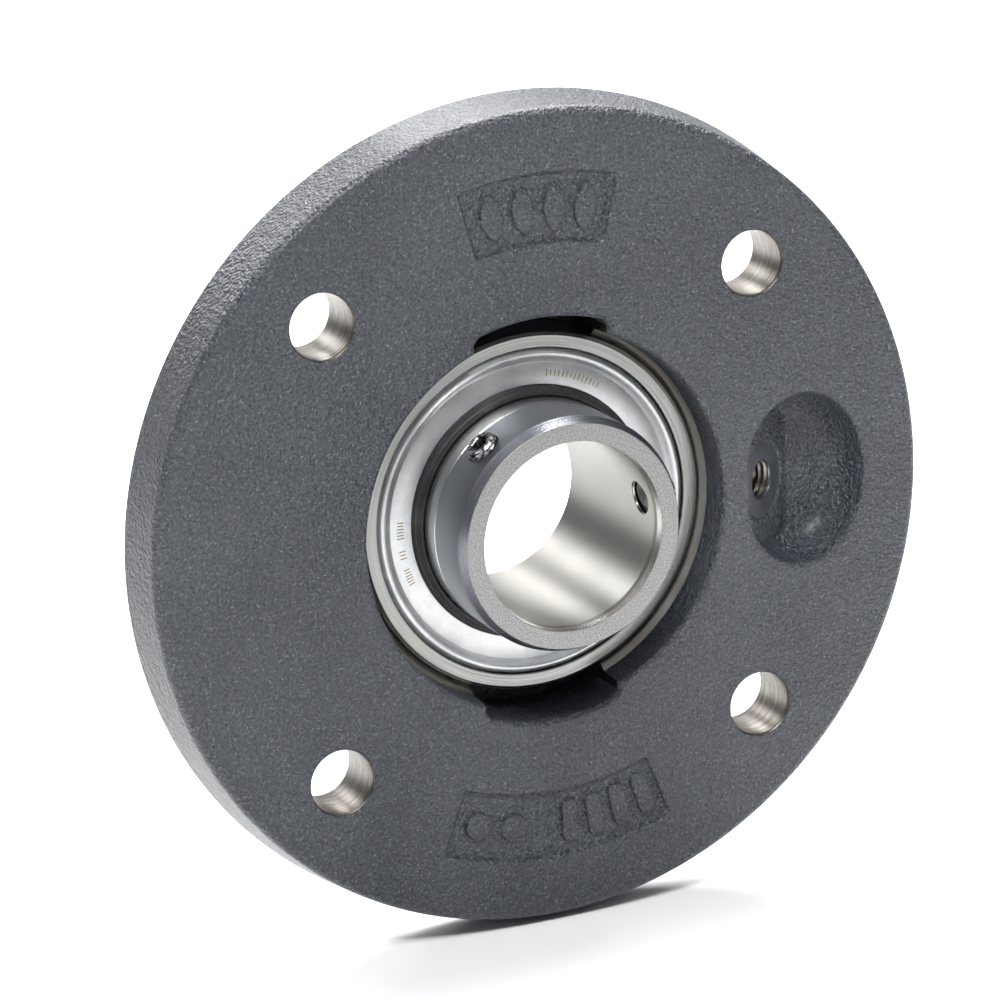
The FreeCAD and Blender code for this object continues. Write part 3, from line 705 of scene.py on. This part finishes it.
def arc_row(name, shape, material, **inputs):
    """A plain mesh of one shape repeated along an arc; the shape itself is used up."""
    tree, ids = arc_row_tree()
    obj = linked(name, bpy.data.meshes.new(name))
    row = obj.modifiers.new("row", "NODES")
    row.node_group = tree
    row[ids["Shape"]] = shape
    row[ids["Finish"]] = material
    for key, value in inputs.items():
        row[ids[key]] = value
    mesh = plain_mesh(obj)
    if not mesh.polygons:
        raise RuntimeError(name + " came out empty")
    obj.modifiers.remove(row)
    obj.data = mesh
    bpy.data.objects.remove(shape)
    return obj


def stud(name, half_r, half_t, power, height, sink=0.3, count=40, shoulder=0.22):
    """A raised cast shape with drafted sides and a rounded top, centred on its own origin and
    rising towards -Y. half_r is its reach along the radius, half_t across it."""
    outline = []
    for j in range(count):
        turn = 2 * math.pi * j / count
        c, s = math.cos(turn), math.sin(turn)
        outline.append((math.copysign(abs(c) ** (2 / power), c) * half_r,
                        math.copysign(abs(s) ** (2 / power), s) * half_t))
    levels = [(sink, shoulder), (0.0, shoulder * 0.9), (-height * 0.25, shoulder * 0.35),
              (-height * 0.7, 0.0), (-height * 0.93, -0.10), (-height, -0.32)]
    return prism(name, outline, levels)


# ---- housing ----
def front_relief(p):
    """How far the front face sinks at (x, z): the two sunken panels and the grease pocket."""
    lean = p.port_angle
    out_x, out_y = math.cos(lean), math.sin(lean)

    def sink(x, z):
        r = np.hypot(x, z)
        turn = np.degrees(np.arctan2(z, x))
        depth = np.zeros_like(x)
        for middle, half in ((90.0, 14.2), (-90.0, 21.0)):
            off = np.abs((turn - middle + 180.0) % 360.0 - 180.0)
            side_r = np.minimum(r - p.panel_in, p.panel_out - r)
            side_t = np.radians(half - off) * r
            inside = 1.6 - np.hypot(np.maximum(1.6 - side_r, 0), np.maximum(1.6 - side_t, 0))
            depth += p.panel_depth * smoothstep(inside / 0.65)
        across = x - p.pocket_x
        q = 1.0 - (across / p.pocket_rx) ** 2 - (z / p.pocket_rz) ** 2
        bowl = p.pocket_deep * np.sqrt(0.012 * np.logaddexp(0.0, q / 0.012))
        along = x - p.port_x
        slope = p.port_deep - p.pocket_skim / out_y + along * out_x / out_y
        slope = 0.5 * np.logaddexp(0.0, slope / 0.5)
        bowl = -0.7 * np.logaddexp(-bowl / 0.7, -p.pocket_floor / 0.7)
        cast = -0.35 * np.logaddexp(-bowl / 0.35, -slope / 0.35)
        cast = np.where(q < -0.4, 0.0, np.maximum(cast, 0.0))
        reach = np.sqrt(np.maximum(p.face_r ** 2 - z ** 2, 0.0))
        flat = np.minimum(p.port_deep + along * out_x / out_y,
                          p.port_deep + (reach - out_y * along) / out_x)
        near = (np.abs(z) < p.face_r) & (along * (out_y + out_x * out_x / out_y) > -reach)
        flat = np.where(near, np.maximum(flat, 0.0), 0.0)
        pit = np.maximum(cast, flat)
        return depth + np.maximum(pit, 0.0)
    return sink


def housing_outline(p):
    """The front face's rows, then the rest of the closed outline."""
    front = -p.front
    inner = p.open_r + 1.1
    outer = p.front_r - p.rim_round
    rows = [inner, inner + 0.5]
    r = inner + 1.4
    while r < outer - 1.0:
        rows.append(r)
        r += 0.5 if 50.0 < r < 89.0 else 1.9
    rows.append(outer)
    face = [(r, front) for r in rows]
    seat_edge = math.sqrt(p.seat_r ** 2 - p.seat_half ** 2)
    mouth = p.hub_len - 1.88
    rest = []
    for k in range(1, 8):
        turn = math.radians(90 - 90 * k / 7)
        rest.append((outer + p.rim_round * math.cos(turn),
                     front + p.rim_round - p.rim_round * math.sin(turn)))
    tail = [
        (p.back_r, -0.8, 0.5), (p.back_r - 0.8, 0.0, 0.3),
        (p.spigot_r, 0.0, 0.4), (p.spigot_r, 5.0, 0.2), (p.spigot_r - 1.0, 6.0, 0.2),
        (p.hub_r, 6.0, 1.2), (p.hub_r - 1.5, p.hub_len - 1.5, 0.5),
        (p.hub_r - 3.0, p.hub_len, 0.4), (p.open_r, p.hub_len, 0.4), (p.open_r, mouth, 0.2),
        (seat_edge, p.seat_y + p.seat_half, 0.15)]
    start = rest[-1]
    outline = rounded([(start[0], start[1], 0)] + tail + [(seat_edge, p.seat_y, 0)], 4)[1:-1]
    rest += outline
    for k in range(1, 16):
        off = p.seat_half - 2 * p.seat_half * k / 16
        rest.append((math.sqrt(p.seat_r ** 2 - off ** 2), p.seat_y + off))
    seat_front = p.seat_y - p.seat_half
    lip = front + p.recess_depth
    rest += rounded([(seat_edge, seat_front + 0.6, 0), (seat_edge, seat_front, 0.15),
                     (p.recess_r, lip, 0.12), (p.open_r, front + 1.1, 0)], 3, 0.1)[1:-1]
    for k in range(0, 6):
        turn = math.radians(90 * k / 6)
        rest.append((p.open_r + 1.1 - 1.1 * math.cos(turn), front + 1.1 - 1.1 * math.sin(turn)))
    return face, rest


def housing_turns():
    """Turns about the axis, close together across the panels and the pocket."""
    turns, here = [], 0.0
    while here < 360.0:
        turns.append(here)
        near = any(abs((here - middle + 180.0) % 360.0 - 180.0) < half
                   for middle, half in ((90.0, 15.6), (270.0, 22.4), (0.0, 24.5)))
        here += 0.36 if near else 1.5
    return [turn * 360.0 / here for turn in turns]


class BEARING_OT_housing(bpy.types.Operator):
    """Build the cast flanged housing with its holes, slots, panels and grease pocket"""
    bl_idname = "bearing.housing"
    bl_label = "Housing"

    def execute(self, context):
        p = context.scene.bearing_housing
        front = -p.front
        face, rest = housing_outline(p)
        obj = turned("housing_casting", face + rest, housing_turns(), front_relief(p), len(face))
        cutters = []
        for turn in BOLT_TURNS:
            rows = [(front - 1.0, p.bolt_r + 0.75), (front, p.bolt_r + 0.55),
                    (front + 0.18, p.bolt_r + 0.28), (front + 0.55, p.bolt_r + 0.06),
                    (front + 0.9, p.bolt_r), (-0.7, p.bolt_r), (-0.25, p.bolt_r + 0.15),
                    (0.0, p.bolt_r + 0.45), (1.0, p.bolt_r + 0.6)]
            cutters.append(rod("bolt_cut", rows,
                               (p.bolt_circle * math.cos(turn), 0,
                                p.bolt_circle * math.sin(turn)), (0, 1, 0), 96))
        lean = math.acos(p.slot_half / p.slot_r)
        outline = []
        for sign in (1, -1):
            first = lean if sign == 1 else math.pi + lean
            last = math.pi - lean if sign == 1 else 2 * math.pi - lean
            start, stop = first + 0.03, last - 0.03
            for k in range(25):
                turn = start + (stop - start) * k / 24
                outline.append((p.slot_r * math.cos(turn), p.slot_r * math.sin(turn)))
            z = p.slot_r * math.sin(lean) - 1.2
            for k in range(5):
                outline.append((-sign * p.slot_half, sign * z * (1 - 2 * k / 4)))
        cutters.append(prism("slot_cut", outline,
                             [(front - 1.5, 1.6), (front, 1.1), (front + 0.35, 0.55),
                              (front + 1.1, 0.05), (front + 1.6, 0.0), (p.seat_y, 0.0)]))
        axis = Vector((math.cos(p.port_angle), -math.sin(p.port_angle), 0))
        mouth = Vector((p.port_x, front + p.port_deep, 0))
        rows = [(-1.5, p.port_r + 0.85), (0.0, p.port_r + 0.7), (0.35, p.port_r + 0.55)]
        rows += thread_rows(0.6, 9.4, p.port_r, p.port_r + THREAD_DEEP, PORT_PITCH)
        rows += [(9.9, p.port_r - 0.2), (p.port_len, DUCT_R), (DUCT_END, DUCT_R)]
        cutters.append(rod("port_cut", rows, mouth, -axis, 56))
        cut_away(obj, cutters)

        def choose(centre, normal):
            x, y, z = centre.T
            r = np.hypot(x, z)
            picked = np.zeros(len(centre), int)
            picked[(r < p.open_r - 0.02) & (y > front + p.recess_depth - 0.06)
                   & (y < p.seat_y + p.seat_half + 0.1)] = MACHINED
            picked[(r > p.hub_r + 1.4) & (y > -0.12)] = MACHINED
            for turn in BOLT_TURNS:
                off = np.hypot(x - p.bolt_circle * math.cos(turn),
                               z - p.bolt_circle * math.sin(turn))
                picked[(off < p.bolt_r + 0.3) & (np.abs(normal[:, 1]) < 0.8)] = DRILLED
            to = centre - np.array(mouth)
            along = to @ np.array(-axis)
            off = np.linalg.norm(to - np.outer(along, np.array(-axis)), axis=1)
            picked[(off < p.port_r + 0.72) & (along > 0.02)] = DRILLED
            slot = ((np.abs(x) < p.slot_half + 1.2) & (r > p.recess_r - 2.5) & (r < p.slot_r + 1.5)
                    & (y < p.seat_y + 0.1))
            picked[slot & ((r > p.open_r - 0.3) | (np.abs(normal[:, 1]) > 0.9))] = PAINT
            spot = (np.abs(along) < 0.15) & (off < p.face_r - 0.2) & (off > p.port_r + 0.3)
            picked[spot & (y > front + 0.15)] = SPOT_FACE
            return picked
        shade(obj, [painted_iron(),
                    turned_metal("cast_housing_machined", (0.20, 0.19, 0.17), (0.32, 0.305, 0.28),
                                 0.30, 1900.0, 0.00003, (0.24, 0.19, 0.15)),
                    drilled_metal(), smooth_paint()], choose)
        settle(obj, "housing", "cast_housing", "housing")
        return {"FINISHED"}


class BEARING_OT_relief(bpy.types.Operator):
    """Set rows of plain raised shapes in the two sunken panels"""
    bl_idname = "bearing.relief"
    bl_label = "Cast relief"

    def execute(self, context):
        p = context.scene.bearing_housing
        paint = bpy.data.materials["cast_housing_paint"]
        floor = (-p.front + p.panel_depth) * MM
        middle = 0.5 * (p.panel_in + p.panel_out) * MM
        rows = (("relief_top", 5.6, 2.7, 1.6, 4, 80.9, 18.2),
                ("relief_low_left", 3.3, 3.3, 2.0, 2, 254.2, 7.0),
                ("relief_low_right", 5.2, 2.0, 5.0, 4, 272.5, 15.0))
        for name, half_r, half_t, power, count, start, sweep in rows:
            shape = stud(name + "_shape", half_r, half_t, power, 0.9)
            obj = arc_row(name, shape, paint, Count=count, Radius=middle, Face=floor,
                          Start=math.radians(start), Sweep=math.radians(sweep),
                          Variation=0.0, Seed=4)
            shade(obj, [paint], None, 50.0)
            settle(obj, "housing", "cast_housing")
        return {"FINISHED"}


# ---- insert bearing ----
def insert_sizes(context):
    """The insert's settings, and where the middle of the bearing is along the shaft."""
    return context.scene.bearing_insert, context.scene.bearing_housing.seat_y


class BEARING_OT_outer_ring(bpy.types.Operator):
    """Build the ground outer ring"""
    bl_idname = "bearing.outer_ring"
    bl_label = "Outer ring"

    def execute(self, context):
        p, mid = insert_sizes(context)
        outline = []
        edge = p.ring_half - 0.6
        for k in range(17):
            off = -edge + 2 * edge * k / 16
            outline.append((math.sqrt(p.ring_r ** 2 - off ** 2), mid + off, 0))
        rear = mid + p.ring_half
        back = [(p.ring_face, rear, 0.12), (p.seal_seat, rear, 0.25),
                (p.seal_seat, rear - SEAL_SEAT_LEN, 0),
                (OUTER_SHOULDER_R, rear - SEAL_SEAT_LEN, 0.15)]
        centre = PITCH_R + BALL_R + BALL_PLAY - RACE_R
        half = math.sqrt(RACE_R ** 2 - (OUTER_SHOULDER_R - centre) ** 2)
        ahead = [(r, 2 * mid - y, f) for r, y, f in reversed(back)]
        corners = outline + back + race(centre, half, 1, mid) + ahead
        obj = turned("outer_ring_ground", rounded(corners, 3, 0.1), even_turns(240))
        shade(obj, [turned_metal("bearing_steel_outer_ground", (0.21, 0.21, 0.205),
                                 (0.34, 0.34, 0.33), 0.30, 2200.0, 0.00001,
                                 (0.36, 0.34, 0.30))])
        settle(obj, "insert", "bearing_steel_outer", "outer_ring")
        return {"FINISHED"}


class BEARING_OT_seals(bpy.types.Operator):
    """Build the pressed washers and the ridged rubber lips at both ends"""
    bl_idname = "bearing.seals"
    bl_label = "Seals"

    def execute(self, context):
        mid = context.scene.bearing_housing.seat_y
        plate, black = zinc(), rubber()
        washer = [
            (31.0, 9.5, 0.15), (36.35, 9.5, 0), (36.5, 9.38, 0), (36.65, 9.5, 0),
            (37.0, 9.62, 0), (37.5, 10.0, 0), (37.9, 10.32, 0), (38.3, 10.5, 0),
            (38.65, 10.55, 0), (39.0, 10.48, 0), (39.35, 10.25, 0), (39.65, 9.95, 0),
            (39.9, 9.6, 0), (40.1, 9.3, 0), (40.1, 7.45, 0), (39.5, 7.45, 0), (39.3, 9.4, 0),
            (38.8, 9.9, 0), (38.3, 9.9, 0), (37.7, 9.5, 0), (36.8, 8.9, 0), (31.0, 8.9, 0.15)]
        lip = [
            (30.9, 9.4, 0.1), (30.55, 9.75, 0), (30.4, 10.15, 0), (30.1, 10.3, 0),
            (29.95, 10.7, 0), (29.7, 10.85, 0), (29.6, 11.2, 0), (29.43, 11.6, 0.15),
            (28.88, 11.6, 0.1), (28.68, 11.3, 0.1), (28.68, 10.9, 0.1), (29.18, 10.2, 0),
            (29.18, 8.1, 0), (36.5, 8.1, 0), (36.5, 8.85, 0), (30.9, 8.85, 0)]
        for end, side in (("front", -1), ("rear", 1)):
            for piece, corners, material, slot in (
                    ("outer_washer", washer, plate, "zinc_washer"),
                    ("lip", lip, black, "seal_rubber")):
                outline = rounded([(r, mid + side * y, f) for r, y, f in corners], 3, 0.06)
                obj = turned("%s_%s_formed" % (end, piece), outline, even_turns(240))
                shade(obj, [material], None, 40.0)
                settle(obj, "insert", slot, "%s_seal_%s" % (end, piece))
            dress("%s_seal_inner_washer" % end, plate)
        return {"FINISHED"}


class BEARING_OT_marks(bpy.types.Operator):
    """Lay rows of plain ticks on the front washer"""
    bl_idname = "bearing.marks"
    bl_label = "Washer ticks"

    def execute(self, context):
        mid = context.scene.bearing_housing.seat_y
        tint = etched()
        face = (mid - WASHER_FACE) * MM
        for name, start, sweep, count in (("ticks_right", 57.0, 24.0, 14),
                                          ("ticks_left_a", 176.0, 6.5, 6),
                                          ("ticks_left_b", 188.0, 3.0, 3),
                                          ("ticks_left_c", 196.0, 6.5, 6)):
            shape = prism(name + "_shape", [(-0.95, -0.13), (0.95, -0.13), (0.95, 0.13),
                                            (-0.95, 0.13)], [(-0.012, 0.0), (0.02, 0.0)])
            obj = arc_row(name, shape, tint, Count=count, Radius=TICK_R * MM, Face=face,
                          Start=math.radians(start), Sweep=math.radians(sweep),
                          Variation=0.45, Seed=11)
            shade(obj, [tint])
            settle(obj, "insert", "zinc_washer")
        return {"FINISHED"}


def race(centre, half, side, mid):
    """Corners across a ball race: side is 1 in the outer ring and -1 in the inner ring."""
    corners = []
    for k in range(RACE_STEPS + 1):
        off = side * (half - 2 * half * k / RACE_STEPS)
        corners.append((centre + side * math.sqrt(RACE_R ** 2 - off ** 2), mid + off, 0))
    return corners


def outwards(turn):
    """The direction away from the shaft axis at a turn in degrees."""
    return Vector((math.cos(math.radians(turn)), 0, math.sin(math.radians(turn))))


class BEARING_OT_inner_ring(bpy.types.Operator):
    """Build the extended inner ring with its two threaded holes"""
    bl_idname = "bearing.inner_ring"
    bl_label = "Inner ring"

    def execute(self, context):
        p, mid = insert_sizes(context)
        nose, tail = mid - p.nose, mid + p.tail
        centre = PITCH_R - BALL_R - BALL_PLAY + RACE_R
        half = math.sqrt(RACE_R ** 2 - (centre - p.inner_r) ** 2)
        corners = [(p.bore_r + 0.5, nose, 0.12), (p.inner_r - 1.3, nose, 0.15),
                   (p.inner_r, nose + 2.8, 0.2),
                   (p.inner_r, -13.75, 0), (p.inner_r - 0.14, -13.6, 0),
                   (p.inner_r - 0.14, -13.45, 0), (p.inner_r, -13.3, 0)]
        corners += race(centre, half, -1, mid)
        corners += [(p.inner_r, tail - 0.8, 0.15), (p.inner_r - 0.8, tail, 0.15),
                    (p.bore_r + 0.8, tail, 0.15), (p.bore_r, tail - 0.8, 0.15),
                    (p.bore_r, nose + 3.0, 0.15)]
        obj = turned("inner_ring_ground", rounded(corners, 4, 0.15), even_turns(256))
        cutters = []
        for turn in SCREW_TURNS:
            way = outwards(turn)
            base = way * (p.bore_r - 3.0) + Vector((0, nose + SCREW_FROM_END, 0))
            rows = [(0.0, 4.0)] + thread_rows(0.8, 8.6, 4.02, 4.22, SCREW_PITCH)
            rows += [(8.75, 4.15), (9.0, 4.45), (10.5, 5.0)]
            cutters.append(rod("screw_cut", rows, base, way, 48))
        cut_away(obj, cutters)
        shade(obj, [inner_ring_steel()], None, 28.0)
        settle(obj, "inner", "bearing_steel_inner", "inner_ring")
        return {"FINISHED"}


class BEARING_OT_screws(bpy.types.Operator):
    """Build the two set screws with helical threads, hex sockets and cup points"""
    bl_idname = "bearing.screws"
    bl_label = "Set screws"

    def execute(self, context):
        p, mid = insert_sizes(context)
        steel = screw_steel()
        length = p.screw_len
        for number, turn in enumerate(SCREW_TURNS, start=1):
            way = outwards(turn)
            base = way * (p.bore_r + SCREW_GAP) + Vector((0, mid - p.nose + SCREW_FROM_END, 0))

            def limit(along):
                return min(p.screw_r, 3.35 + along * 0.9, 3.35 + (length - along) * 0.9)
            rows = thread_rows(0.0, length, p.screw_r - THREAD_DEEP, p.screw_r, SCREW_PITCH,
                               limit, 12)
            obj = rod("set_screw_%d_threaded" % number, rows, base, way, 60)
            hexagon = p.hex_across / math.sqrt(3)
            flat = p.hex_across / 2

            def six(around, along):
                return flat / math.cos((around + math.pi / 6) % (math.pi / 3) - math.pi / 6)
            socket = rod("socket_cut", [(length - 3.2, six), (length - 0.3, six),
                                        (length + 0.5, hexagon + 0.75)], base, way, 60)
            cup = rod("cup_cut", [(-0.5, 3.0), (0.0, 2.4), (0.9, 0.25)], base, way, 48)
            cut_away(obj, [socket, cup])
            shade(obj, [steel], None, 28.0)
            settle(obj, "set_screw_%d" % number, "screw_steel", "set_screw_%d" % number)
        return {"FINISHED"}


class BEARING_OT_rolling(bpy.types.Operator):
    """Finish the balls and their cage"""
    bl_idname = "bearing.rolling"
    bl_label = "Balls and cage"

    def execute(self, context):
        steel, nylon = ball_steel(), moulded_cage()
        for number in range(1, 10):
            dress("ball_%d" % number, steel)
        dress("cage", nylon)
        return {"FINISHED"}


class BEARING_OT_stage(bpy.types.Operator):
    """Set the pale floor, the soft studio light and the camera"""
    bl_idname = "bearing.stage"
    bl_label = "Stage"

    def execute(self, context):
        p = context.scene.bearing_stage
        low = -context.scene.bearing_housing.back_r - 0.05
        floor = make_object("studio_floor", [(x * FLOOR_REACH, y * FLOOR_REACH, low)
                                             for x, y in ((-1, -1), (1, -1), (1, 1), (-1, 1))],
                            [(0, 1, 2, 3)])
        floor.data.materials.append(floor_material(p.floor_shade))
        world = bpy.data.worlds.new("studio")
        world.use_nodes = True
        context.scene.world = world
        g = Graph(world.node_tree)
        way = g.node("ShaderNodeSeparateXYZ", None,
                     {0: g.out(g.node("ShaderNodeTexCoord"), "Generated")})
        behind = g.out(way, 1).step(-0.25, 0.45)
        level = g.mix(behind, (0.13, 0.135, 0.145, 1), (0.32, 0.32, 0.33, 1))
        shader = g.node("ShaderNodeBackground", None, {"Color": level, "Strength": 1.0})
        g.node("ShaderNodeOutputWorld", None, {"Surface": g.out(shader)})
        # name, place, what it is aimed at, width, watts
        for name, place, aim, wide, power in (
                ("key", (-0.24, -0.56, 0.86), (0.0, 0.0, 0.0), 0.34, 9.5),
                ("edge", (-0.62, -0.62, 0.95), (0.0, 0.0, 0.0), 0.12, 3.6),
                ("top", (0.26, 0.16, 1.0), (0.0, 0.0, 0.0), 0.30, 9.0),
                ("fill", (0.80, -0.70, 0.75), (0.0, 0.0, 0.0), 0.6, 1.5),
                ("sweep", (0.45, 0.85, 1.0), (0.35, 0.65, -0.1), 0.9, 36.0),
                ("band", (-0.17, 0.75, 0.33), (0.0, 0.0, 0.0), 0.24, 1.6)):
            lamp = bpy.data.lights.new(name, "AREA")
            lamp.shape = "SQUARE"
            lamp.size = wide
            lamp.energy = power
            light = linked(name, lamp)
            light.location = place
            light.rotation_euler = (Vector(place) - Vector(aim)).to_track_quat("Z", "Y").to_euler()
        lens = bpy.data.cameras.new("camera")
        lens.sensor_width = 36.0
        lens.lens = p.lens
        lens.clip_end = 20.0
        camera = linked("camera", lens)
        right = Vector(CAMERA_RIGHT)
        up = Vector(CAMERA_UP)
        back = right.cross(up).normalized()
        up = back.cross(right).normalized()
        right.normalize()
        turn = Matrix((right, up, back)).transposed().to_4x4()
        camera.matrix_world = Matrix.Translation(CAMERA_PLACE) @ turn
        context.scene.camera = camera
        context.scene.view_settings.view_transform = "Standard"
        return {"FINISHED"}


class BEARING_PT_panel(bpy.types.Panel):
    """Buttons that build the unit piece by piece"""
    bl_label = "Flange bearing unit"
    bl_idname = "BEARING_PT_panel"
    bl_space_type = "VIEW_3D"
    bl_region_type = "UI"
    bl_category = "Bearing"

    def draw(self, context):
        for operator in OPERATORS:
            self.layout.operator(operator.bl_idname)


GROUPS = (("bearing_housing", BEARING_PG_housing), ("bearing_insert", BEARING_PG_insert),
          ("bearing_stage", BEARING_PG_stage))
OPERATORS = (BEARING_OT_housing, BEARING_OT_relief, BEARING_OT_outer_ring, BEARING_OT_seals,
             BEARING_OT_marks, BEARING_OT_inner_ring, BEARING_OT_screws, BEARING_OT_rolling,
             BEARING_OT_stage)


def register():
    for name, group in GROUPS:
        bpy.utils.register_class(group)
        setattr(bpy.types.Scene, name, bpy.props.PointerProperty(type=group))
    for operator in OPERATORS:
        bpy.utils.register_class(operator)
    bpy.utils.register_class(BEARING_PT_panel)


def unregister():
    bpy.utils.unregister_class(BEARING_PT_panel)
    for operator in reversed(OPERATORS):
        bpy.utils.unregister_class(operator)
    for name, group in reversed(GROUPS):
        delattr(bpy.types.Scene, name)
        bpy.utils.unregister_class(group)


def main():
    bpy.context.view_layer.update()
    register()
    bpy.ops.bearing.housing()
    bpy.ops.bearing.relief()
    bpy.ops.bearing.outer_ring()
    bpy.ops.bearing.seals()
    bpy.ops.bearing.marks()
    bpy.ops.bearing.inner_ring()
    bpy.ops.bearing.screws()
    bpy.ops.bearing.rolling()
    bpy.ops.bearing.stage()


if __name__ == "__main__":
    main()
